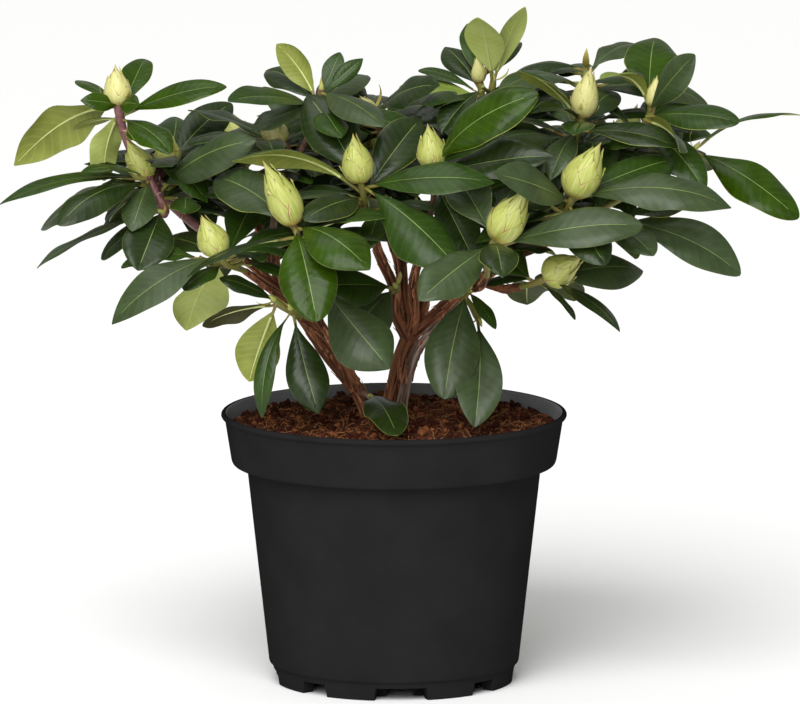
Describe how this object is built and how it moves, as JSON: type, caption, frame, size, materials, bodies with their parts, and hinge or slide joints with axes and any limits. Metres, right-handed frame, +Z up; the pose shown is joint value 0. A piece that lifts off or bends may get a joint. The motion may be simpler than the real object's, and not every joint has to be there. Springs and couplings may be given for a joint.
{
  "type": "potted rhododendron",
  "caption": "Evergreen shrub in bud, with whorls of leathery oval leaves on short woody stems, in a round black nursery pot.",
  "frame": {"origin": "middle of the pot's flat underside, on the ground", "axes": "+X to the right of the front view, +Y away from it, +Z up; the crown is widest along X"},
  "size_m": [0.5325, 0.3635, 0.4499],
  "materials": {
    "pot": "thermoformed black polypropylene, satin",
    "soil": "loose peat and bark fibre",
    "bark": "thin peeling bark",
    "foliage": "waxy leathery leaves, paler and matt below"
  },
  "bodies": {
    "root": {"pot": "pot", "soil": "soil", "stem_left": "bark", "stem_centre": "bark", "stem_grey": "bark", "limb_left_front": "bark", "limb_left_back": "bark", "limb_up_left": "bark", "limb_back_left": "bark", "limb_up": "bark", "limb_back_right": "bark", "limb_right": "bark", "bough_left": "bark", "bough_left_low": "bark", "bough_left_back": "bark", "bough_low_left": "bark", "bough_back": "bark", "bough_back_right": "bark", "bough_front_right": "bark", "bough_low_right": "bark", "bough_hanging": "bark", "bough_right": "bark", "bough_far_right": "bark", "bough_far_back": "bark", "foliage_far_left": "foliage", "foliage_left": "foliage", "foliage_low_left": "foliage", "foliage_front_left": "foliage", "foliage_top_left": "foliage", "foliage_front_centre": "foliage", "foliage_low_centre": "foliage", "foliage_back_top": "foliage", "foliage_centre": "foliage", "foliage_top": "foliage", "foliage_front_right": "foliage", "foliage_hanging": "foliage", "foliage_low_right": "foliage", "foliage_right": "foliage", "foliage_top_right": "foliage", "foliage_far_right": "foliage", "foliage_back_left": "foliage", "foliage_back": "foliage", "foliage_back_right": "foliage", "foliage_far_back_right": "foliage", "foliage_foot": "foliage"}
  },
  "joints": []
}
